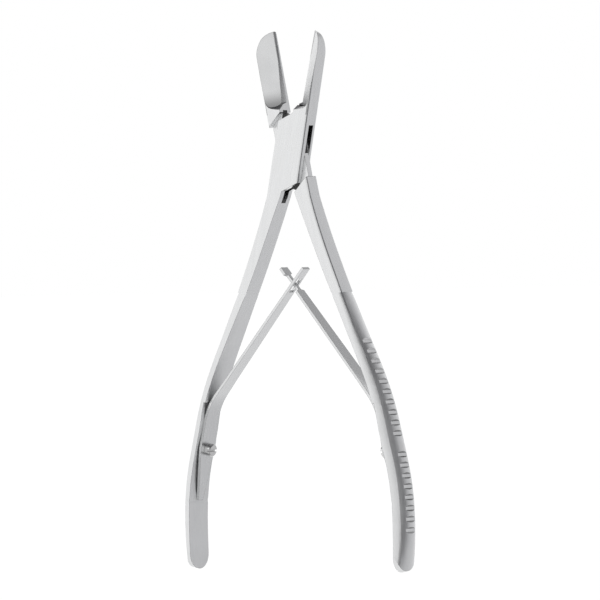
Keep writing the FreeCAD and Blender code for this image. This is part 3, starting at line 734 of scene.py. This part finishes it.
def leaf_strip_tree():
    """Geometry tree: a strip laid along a guide, with a window or a narrow neck, made solid."""
    tree = bpy.data.node_groups.get("leaf_strip")
    if tree:
        return tree
    tree = bpy.data.node_groups.new("leaf_strip", "GeometryNodeTree")
    group_input(tree, "Guide", "NodeSocketObject")
    group_input(tree, "Bend radius", "NodeSocketFloat")
    group_input(tree, "Thickness", "NodeSocketFloat")
    group_input(tree, "Widest", "NodeSocketFloat")
    group_input(tree, "Window start", "NodeSocketFloat", 0)
    group_input(tree, "Window end", "NodeSocketFloat", 0)
    group_input(tree, "Window half", "NodeSocketFloat", 0)
    group_input(tree, "Neck start", "NodeSocketFloat", 0)
    group_input(tree, "Neck end", "NodeSocketFloat", 0)
    group_input(tree, "Neck half", "NodeSocketFloat", 0)
    group_input(tree, "Material", "NodeSocketMaterial")
    group_output(tree, "Geometry", "NodeSocketGeometry")
    source = add_node(tree, "NodeGroupInput")
    result = add_node(tree, "NodeGroupOutput")

    def math_node(label, operation, first, second=None, third=None):
        node = add_node(tree, "ShaderNodeMath", label, operation=operation)
        for socket, value in zip(node.inputs, (first, second, third)):
            if isinstance(value, bpy.types.NodeSocket):
                join(tree, value, socket)
            elif value is not None:
                socket.default_value = value
        return node.outputs[0]

    def between(label, value, start, end):
        above = math_node(label + " starts", "GREATER_THAN", value, start)
        below = math_node(label + " ends", "LESS_THAN", value, end)
        return math_node(label, "MULTIPLY", above, below)

    guide = add_node(tree, "GeometryNodeObjectInfo", "guide")
    rounded = add_node(tree, "GeometryNodeFilletCurve", "rounded at the bend", mode="POLY")
    rounded.inputs["Count"].default_value = BEND_STEPS
    join(tree, source.outputs["Guide"], guide.inputs["Object"])
    join(tree, guide.outputs["Geometry"], rounded.inputs["Curve"])
    join(tree, source.outputs["Bend radius"], rounded.inputs["Radius"])
    whole = add_node(tree, "GeometryNodeCurveLength", "length of the leaf")
    join(tree, rounded.outputs["Curve"], whole.inputs["Curve"])

    sheet = add_node(tree, "GeometryNodeMeshGrid", "flat sheet, one by one")
    sheet.inputs["Vertices X"].default_value = LEAF_STEPS_ALONG + 1
    sheet.inputs["Vertices Y"].default_value = LEAF_STEPS_ACROSS + 1
    place = add_node(tree, "GeometryNodeInputPosition")
    parts = add_node(tree, "ShaderNodeSeparateXYZ")
    join(tree, place.outputs["Position"], parts.inputs[0])
    share = math_node("share of the length", "ADD", parts.outputs["X"], 0.5)
    across = math_node("across, -1 to 1", "MULTIPLY", parts.outputs["Y"], 2.0)
    along = math_node("distance from the toe", "MULTIPLY", share, whole.outputs["Length"])

    taper = add_node(tree, "ShaderNodeFloatCurve", "widest at the screw, narrow at toe and tip")
    points = taper.mapping.curves[0].points
    points[0].location = LEAF_TAPER[0]
    points[1].location = LEAF_TAPER[-1]
    for share_and_width in LEAF_TAPER[1:-1]:
        points.new(*share_and_width)
    for point in points:
        point.handle_type = "VECTOR"
    taper.mapping.update()
    join(tree, share, taper.inputs["Value"])
    full_half = math_node("half width", "MULTIPLY", taper.outputs[0], source.outputs["Widest"])
    at_neck = between("neck", along, source.outputs["Neck start"], source.outputs["Neck end"])
    narrow = add_node(tree, "ShaderNodeMix", "neck or full width", data_type="FLOAT")
    join(tree, at_neck, narrow.inputs["Factor"])
    join(tree, full_half, narrow.inputs["A"])
    join(tree, source.outputs["Neck half"], narrow.inputs["B"])
    half = narrow.outputs["Result"]

    side = math_node("off the middle", "ABSOLUTE", math_node("off", "MULTIPLY", across, full_half))
    window_start = source.outputs["Window start"]
    in_window = between("window's length", along, window_start, source.outputs["Window end"])
    in_width = math_node("window's width", "LESS_THAN", side, source.outputs["Window half"])
    cut = math_node("window", "MULTIPLY", in_window, in_width)
    open_sheet = add_node(tree, "GeometryNodeDeleteGeometry", "cut the window", domain="FACE")
    join(tree, sheet.outputs["Mesh"], open_sheet.inputs["Geometry"])
    join(tree, cut, open_sheet.inputs["Selection"])

    sample = add_node(tree, "GeometryNodeSampleCurve", "point on the guide", mode="FACTOR")
    join(tree, rounded.outputs["Curve"], sample.inputs["Curves"])
    join(tree, share, sample.inputs["Factor"])
    reach = add_node(tree, "ShaderNodeCombineXYZ", "out to the edge")
    join(tree, math_node("y", "MULTIPLY", across, half), reach.inputs["Y"])
    spot = add_node(tree, "ShaderNodeVectorMath", "place on the leaf", operation="ADD")
    join(tree, sample.outputs["Position"], spot.inputs[0])
    join(tree, reach.outputs[0], spot.inputs[1])
    laid = add_node(tree, "GeometryNodeSetPosition", "lay along the guide")
    join(tree, open_sheet.outputs["Geometry"], laid.inputs["Geometry"])
    join(tree, spot.outputs[0], laid.inputs["Position"])

    normal = add_node(tree, "GeometryNodeInputNormal")
    back = add_node(tree, "ShaderNodeVectorMath", "half the thickness back", operation="SCALE")
    join(tree, normal.outputs["Normal"], back.inputs[0])
    half_back = math_node("half", "MULTIPLY", source.outputs["Thickness"], -0.5)
    join(tree, half_back, back.inputs["Scale"])
    centred = add_node(tree, "GeometryNodeSetPosition", "centre the thickness")
    join(tree, laid.outputs["Geometry"], centred.inputs["Geometry"])
    join(tree, back.outputs[0], centred.inputs["Offset"])
    thick = add_node(tree, "GeometryNodeExtrudeMesh", "thickness", mode="FACES")
    thick.inputs["Individual"].default_value = False
    join(tree, centred.outputs["Geometry"], thick.inputs["Mesh"])
    join(tree, source.outputs["Thickness"], thick.inputs["Offset Scale"])
    under = add_node(tree, "GeometryNodeFlipFaces", "underside")
    join(tree, centred.outputs["Geometry"], under.inputs["Mesh"])
    both = add_node(tree, "GeometryNodeJoinGeometry")
    join(tree, under.outputs["Mesh"], both.inputs["Geometry"])
    join(tree, thick.outputs["Mesh"], both.inputs["Geometry"])
    closed = add_node(tree, "GeometryNodeMergeByDistance", "one closed strip")
    closed.inputs["Distance"].default_value = WELD_DISTANCE
    join(tree, both.outputs["Geometry"], closed.inputs["Geometry"])

    smooth = add_node(tree, "GeometryNodeSetShadeSmooth", "smooth round the bend", domain="FACE")
    join(tree, closed.outputs["Geometry"], smooth.inputs["Geometry"])
    angle = add_node(tree, "GeometryNodeInputMeshEdgeAngle")
    crisp = math_node("crisp edges", "GREATER_THAN", angle.outputs["Unsigned Angle"], CRISP_ANGLE)
    edges = add_node(tree, "GeometryNodeSetShadeSmooth", "crisp edges", domain="EDGE")
    edges.inputs["Shade Smooth"].default_value = False
    join(tree, smooth.outputs["Geometry"], edges.inputs["Geometry"])
    join(tree, crisp, edges.inputs["Selection"])
    solid = add_node(tree, "GeometryNodeRealizeInstances")
    finish = add_node(tree, "GeometryNodeSetMaterial")
    join(tree, edges.outputs["Geometry"], solid.inputs["Geometry"])
    join(tree, solid.outputs["Geometry"], finish.inputs["Geometry"])
    join(tree, source.outputs["Material"], finish.inputs["Material"])
    join(tree, finish.outputs["Geometry"], result.inputs["Geometry"])
    return tree


def leaf_marks(settings, side):
    """Toe, bend, crossing and tip of a leaf's middle line, tool open; the left side is -1."""
    middle = Vector((0, MIDDLE_Y, 0))
    turn = Matrix.Rotation(-side * HALF_OPENING, 3, "Y")
    toe = middle + turn @ Vector((side * settings.seat, 0, -settings.toe))
    bend = middle + turn @ Vector((side * settings.seat, 0, -settings.bend))
    crossing = middle - Vector((0, 0, settings.crossing))
    tip = crossing + (crossing - bend).normalized() * settings.past_crossing
    return toe, bend, crossing, tip


def leaf_guide(name, marks):
    curve = bpy.data.curves.new(name, "CURVE")
    curve.dimensions = "3D"
    spline = curve.splines.new("POLY")
    spline.points.add(len(marks) - 1)
    for point, mark in zip(spline.points, marks):
        point.co = (*mark, 1)
    guide = bpy.data.objects.new(name, curve)
    bpy.context.scene.collection.objects.link(guide)
    return guide


def modifier_value(modifier, name, value):
    for item in modifier.node_group.interface.items_tree:
        if item.item_type == "SOCKET" and item.in_out == "INPUT" and item.name == name:
            modifier[item.identifier] = value
            return
    raise KeyError(name)


def make_leaf(name, side, steel, **cut):
    """Lays a strip along its guide as a plain mesh. Returns it with two points on its middle line,
    which lie equally far from the crossing.
    """
    settings = bpy.context.scene.forceps_leaf
    toe, bend, crossing, tip = leaf_marks(settings, side)
    guide = leaf_guide(name + "_guide", (toe, bend, tip))
    piece = bpy.data.objects.new(name + "_strip", bpy.data.meshes.new(name + "_strip"))
    bpy.context.scene.collection.objects.link(piece)
    modifier = piece.modifiers.new("leaf_strip", "NODES")
    modifier.node_group = leaf_strip_tree()
    modifier_value(modifier, "Guide", guide)
    modifier_value(modifier, "Bend radius", settings.bend_radius)
    modifier_value(modifier, "Thickness", settings.thickness)
    modifier_value(modifier, "Widest", settings.widest)
    modifier_value(modifier, "Material", steel)
    for word, value in cut.items():
        modifier_value(modifier, word.replace("_", " ").capitalize(), value)
    ready = piece.evaluated_get(bpy.context.evaluated_depsgraph_get())
    mesh = bpy.data.meshes.new_from_object(ready)
    piece.modifiers.remove(modifier)
    piece.data = mesh
    bpy.data.objects.remove(guide)
    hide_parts(name)
    return piece, bend, bend + 2 * (crossing - bend)


class FORCEPS_OT_leaves(bpy.types.Operator):
    """The two leaf springs, laid as bent strips that cross between the halves."""

    bl_idname = "forceps.leaves"
    bl_label = "Leaf Springs"

    def execute(self, context):
        settings = context.scene.forceps_steel
        leaf = context.scene.forceps_leaf
        per_metre = 1 / settings.grain_width
        steel = steel_material(
            "spring_strip",
            settings.spring_colour,
            settings.spring_roughness,
            scratches=per_metre,
            stretch=0.05,
            contrast=0.25,
        )
        # How far the crossing lies along the strip, which saves length where its bend is rounded
        toe, bend, crossing = leaf_marks(leaf, -1)[:3]
        turn = (toe - bend).angle(bend - crossing)
        saved = leaf.bend_radius * (2 * math.tan(turn / 2) - turn)
        middle = (toe - bend).length + (crossing - bend).length - saved
        half_window = leaf.window_length / 2
        piece, start, end = make_leaf(
            "window_leaf",
            -1,
            steel,
            window_start=middle - half_window,
            window_end=middle + half_window,
            window_half=leaf.window_width / 2 + WINDOW_EASE,
        )
        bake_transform(piece)
        piece, start, end = make_leaf(
            "link_leaf",
            1,
            steel,
            neck_start=middle - leaf.link_below,
            neck_end=middle + leaf.link_above,
            neck_half=leaf.link_width / 2,
        )
        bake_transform(piece)
        return {"FINISHED"}


class FORCEPS_OT_screws(bpy.types.Operator):
    """Turned steel on the two cheese-head screws."""

    bl_idname = "forceps.screws"
    bl_label = "Screws"

    def execute(self, context):
        settings = context.scene.forceps_steel
        steel = steel_material(
            "turned_screw",
            settings.screw_colour,
            settings.screw_roughness,
            scratches=5000,
            stretch=1.0,
            contrast=0.2,
        )
        dress("window_leaf_screw", steel)
        dress("link_leaf_screw", steel)
        return {"FINISHED"}


def tent_tone_group(settings):
    """Group: tone of the tent by the direction of a ray, once round in degrees from +X to +Y."""
    tree = bpy.data.node_groups.get("tent_tone")
    if tree:
        return tree
    tree = bpy.data.node_groups.new("tent_tone", "ShaderNodeTree")
    group_input(tree, "Direction", "NodeSocketVector", (0, 1, 0))
    group_output(tree, "Colour", "NodeSocketColor")
    source = add_node(tree, "NodeGroupInput")
    result = add_node(tree, "NodeGroupOutput")
    unit = add_node(tree, "ShaderNodeVectorMath", "unit length", operation="NORMALIZE")
    parts = add_node(tree, "ShaderNodeSeparateXYZ")
    compass = add_node(tree, "ShaderNodeMath", "compass angle", operation="ARCTAN2")
    round_once = add_node(tree, "ShaderNodeMapRange", "once round")
    round_once.inputs["From Min"].default_value = -math.pi
    round_once.inputs["From Max"].default_value = math.pi
    ramp = add_node(tree, "ShaderNodeValToRGB", "paper, gap and grey card")
    paper = tuple(settings.paper_colour)
    gap = tuple(settings.gap_colour)
    card = tuple(settings.card_colour)
    dim = tuple(settings.dim_share * value for value in settings.paper_colour)
    stops = [
        (-180, paper),
        (-124, paper),
        (-100, dim),
        (-46, dim),
        (-24, gap),
        (4, gap),
        (32, card),
        (66, card),
        (105, paper),
    ]
    steps = ramp.color_ramp.elements
    steps.remove(steps[0])
    for step, (degrees, colour) in enumerate(stops):
        place = (degrees + 180) / 360
        if step:
            steps.new(place)
        steps[step].position = place
        steps[step].color = (*colour, 1)
    roof = add_node(tree, "ShaderNodeMapRange", "open roof", interpolation_type="SMOOTHSTEP")
    roof.inputs["From Min"].default_value = settings.roof_start
    roof.inputs["From Max"].default_value = settings.roof_start + ROOF_FADE
    overhead = add_node(tree, "ShaderNodeMix", "walls and roof", data_type="RGBA")
    overhead.inputs["B"].default_value = (*gap, 1)
    join(tree, source.outputs["Direction"], unit.inputs[0])
    join(tree, unit.outputs[0], parts.inputs[0])
    join(tree, parts.outputs["Y"], compass.inputs[0])
    join(tree, parts.outputs["X"], compass.inputs[1])
    join(tree, compass.outputs[0], round_once.inputs["Value"])
    join(tree, round_once.outputs["Result"], ramp.inputs["Fac"])
    join(tree, parts.outputs["Z"], roof.inputs["Value"])
    join(tree, roof.outputs["Result"], overhead.inputs["Factor"])
    join(tree, ramp.outputs["Color"], overhead.inputs["A"])
    join(tree, overhead.outputs["Result"], result.inputs["Colour"])
    return tree


def light_tent(settings):
    """World of a light tent: white paper, with a gap, a grey card and an open roof."""
    world = bpy.data.worlds.new("light_tent")
    bpy.context.scene.world = world
    world.use_nodes = True
    tree = world.node_tree
    tree.nodes.clear()
    output = add_node(tree, "ShaderNodeOutputWorld")
    tent = add_node(tree, "ShaderNodeBackground", "tent")
    plain = add_node(tree, "ShaderNodeBackground", "plain paper behind the tool")
    plain.inputs["Color"].default_value = (*settings.paper_colour, 1)
    place = add_node(tree, "ShaderNodeTexCoord")
    tone = add_node(tree, "ShaderNodeGroup", "tone", node_tree=tent_tone_group(settings))
    rays = add_node(tree, "ShaderNodeLightPath")
    mix = add_node(tree, "ShaderNodeMixShader")
    join(tree, place.outputs["Generated"], tone.inputs["Direction"])
    join(tree, tone.outputs["Colour"], tent.inputs["Color"])
    join(tree, rays.outputs["Is Camera Ray"], mix.inputs["Fac"])
    join(tree, tent.outputs["Background"], mix.inputs[1])
    join(tree, plain.outputs["Background"], mix.inputs[2])
    join(tree, mix.outputs["Shader"], output.inputs["Surface"])


def paper_material(settings):
    """White paper with a faint shadow; the steel looks past it at the tent's lower half."""
    colour = settings.paper_colour
    material = bpy.data.materials.new("white_paper")
    material.use_nodes = True
    tree = material.node_tree
    tree.nodes.clear()
    output = add_node(tree, "ShaderNodeOutputMaterial")
    paper = add_node(tree, "ShaderNodeBsdfDiffuse", "paper")
    paper.inputs["Color"].default_value = (*(PAPER_SHARE * value for value in colour), 1)
    glow = add_node(tree, "ShaderNodeEmission", "lit from below")
    glow.inputs["Color"].default_value = (*colour, 1)
    glow.inputs["Strength"].default_value = settings.floor_glow
    clear = add_node(tree, "ShaderNodeBsdfTransparent", "clear to the steel")
    rays = add_node(tree, "ShaderNodeLightPath")
    mix = add_node(tree, "ShaderNodeMixShader")
    share = add_node(tree, "ShaderNodeMixShader", "share of the shadow")
    share.inputs["Fac"].default_value = GLOW_SHARE
    join(tree, paper.outputs["BSDF"], share.inputs[1])
    join(tree, glow.outputs["Emission"], share.inputs[2])
    join(tree, rays.outputs["Is Glossy Ray"], mix.inputs["Fac"])
    join(tree, share.outputs["Shader"], mix.inputs[1])
    join(tree, clear.outputs["BSDF"], mix.inputs[2])
    join(tree, mix.outputs["Shader"], output.inputs["Surface"])
    return material


def area_lamp(name, place, aim, width, power):
    lamp = bpy.data.lights.new(name, "AREA")
    lamp.shape = "SQUARE"
    lamp.size = width
    lamp.energy = power
    holder = bpy.data.objects.new(name, lamp)
    bpy.context.scene.collection.objects.link(holder)
    holder.location = place
    holder.rotation_mode = "QUATERNION"
    holder.rotation_quaternion = (Vector(aim) - Vector(place)).to_track_quat("-Z", "Y")


class FORCEPS_OT_stage(bpy.types.Operator):
    """Floor, light tent, lamp and the camera at the photograph's place."""

    bl_idname = "forceps.stage"
    bl_label = "Stage"

    def execute(self, context):
        settings = context.scene.forceps_stage
        scene = context.scene
        scene.view_settings.view_transform = "Standard"

        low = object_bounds()[0]
        mesh = bpy.data.meshes.new("floor")
        shape = bmesh.new()
        bmesh.ops.create_circle(shape, cap_ends=True, segments=FLOOR_SEGMENTS, radius=FLOOR_RADIUS)
        bmesh.ops.translate(shape, verts=shape.verts, vec=(0, 0, low[2] - FLOOR_DROP))
        shape.to_mesh(mesh)
        shape.free()
        floor = bpy.data.objects.new("floor", mesh)
        scene.collection.objects.link(floor)
        floor.data.materials.append(paper_material(settings))
        floor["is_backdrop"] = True

        light_tent(settings)
        centre = (0.0, MIDDLE_Y, TOOL_CENTRE_HEIGHT)
        area_lamp("key_lamp", LAMP_PLACE, centre, LAMP_WIDTH, LAMP_POWER)

        set_camera(settings)
        return {"FINISHED"}


def set_camera(settings):
    """Stands the camera where it puts the pivot on its pixel, without any lens shift."""
    pivot = Vector((0, MIDDLE_Y, 0))
    away = Vector((math.sin(settings.yaw), -math.cos(settings.yaw), 0))
    across = Vector((math.cos(settings.yaw), math.sin(settings.yaw), 0))
    up = Vector((0, 0, 1))
    tilted_up = up * math.cos(settings.roll) + across * math.sin(settings.roll)
    tilted_across = across * math.cos(settings.roll) - up * math.sin(settings.roll)
    aside = (PICTURE_WIDTH / 2 - settings.pivot_column) * settings.metres_per_pixel
    below = (PICTURE_WIDTH / 2 - settings.pivot_row) * settings.metres_per_pixel
    place = pivot + away * settings.distance
    aim = pivot + tilted_across * aside - tilted_up * below
    back = (place - aim).normalized()
    right = tilted_up.cross(back).normalized()
    top = back.cross(right)

    camera = bpy.data.cameras.new("camera")
    camera.sensor_width = SENSOR_WIDTH
    camera.lens = SENSOR_WIDTH * settings.distance / (PICTURE_WIDTH * settings.metres_per_pixel)
    camera.clip_start = 0.1
    camera.clip_end = 50
    holder = bpy.data.objects.new("camera", camera)
    bpy.context.scene.collection.objects.link(holder)
    turn = Matrix((right, top, back)).transposed().to_4x4()
    holder.matrix_world = Matrix.Translation(place) @ turn
    bpy.context.scene.camera = holder


class FORCEPS_PT_panel(bpy.types.Panel):
    """Lists the makers of each group of pieces and their sizes."""

    bl_idname = "FORCEPS_PT_panel"
    bl_label = "Bone Cutting Forceps"
    bl_space_type = "VIEW_3D"
    bl_region_type = "UI"
    bl_category = "Forceps"

    def draw(self, context):
        layout = self.layout
        for maker in MAKERS:
            layout.operator(maker.bl_idname)
        scene = context.scene
        for settings in (scene.forceps_steel, scene.forceps_leaf, scene.forceps_stage):
            box = layout.box()
            for name in settings.__annotations__:
                box.prop(settings, name)


MAKERS = (FORCEPS_OT_halves, FORCEPS_OT_leaves, FORCEPS_OT_screws, FORCEPS_OT_stage)
CLASSES = (SteelSettings, LeafSettings, StageSettings) + MAKERS + (FORCEPS_PT_panel,)


def register():
    for item in CLASSES:
        bpy.utils.register_class(item)
    bpy.types.Scene.forceps_steel = bpy.props.PointerProperty(type=SteelSettings)
    bpy.types.Scene.forceps_leaf = bpy.props.PointerProperty(type=LeafSettings)
    bpy.types.Scene.forceps_stage = bpy.props.PointerProperty(type=StageSettings)


def unregister():
    del bpy.types.Scene.forceps_stage
    del bpy.types.Scene.forceps_leaf
    del bpy.types.Scene.forceps_steel
    for item in reversed(CLASSES):
        bpy.utils.unregister_class(item)


def main():
    register()
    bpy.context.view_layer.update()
    bpy.ops.forceps.halves()
    bpy.ops.forceps.leaves()
    bpy.ops.forceps.screws()
    bpy.ops.forceps.stage()


if __name__ == "__main__":
    main()
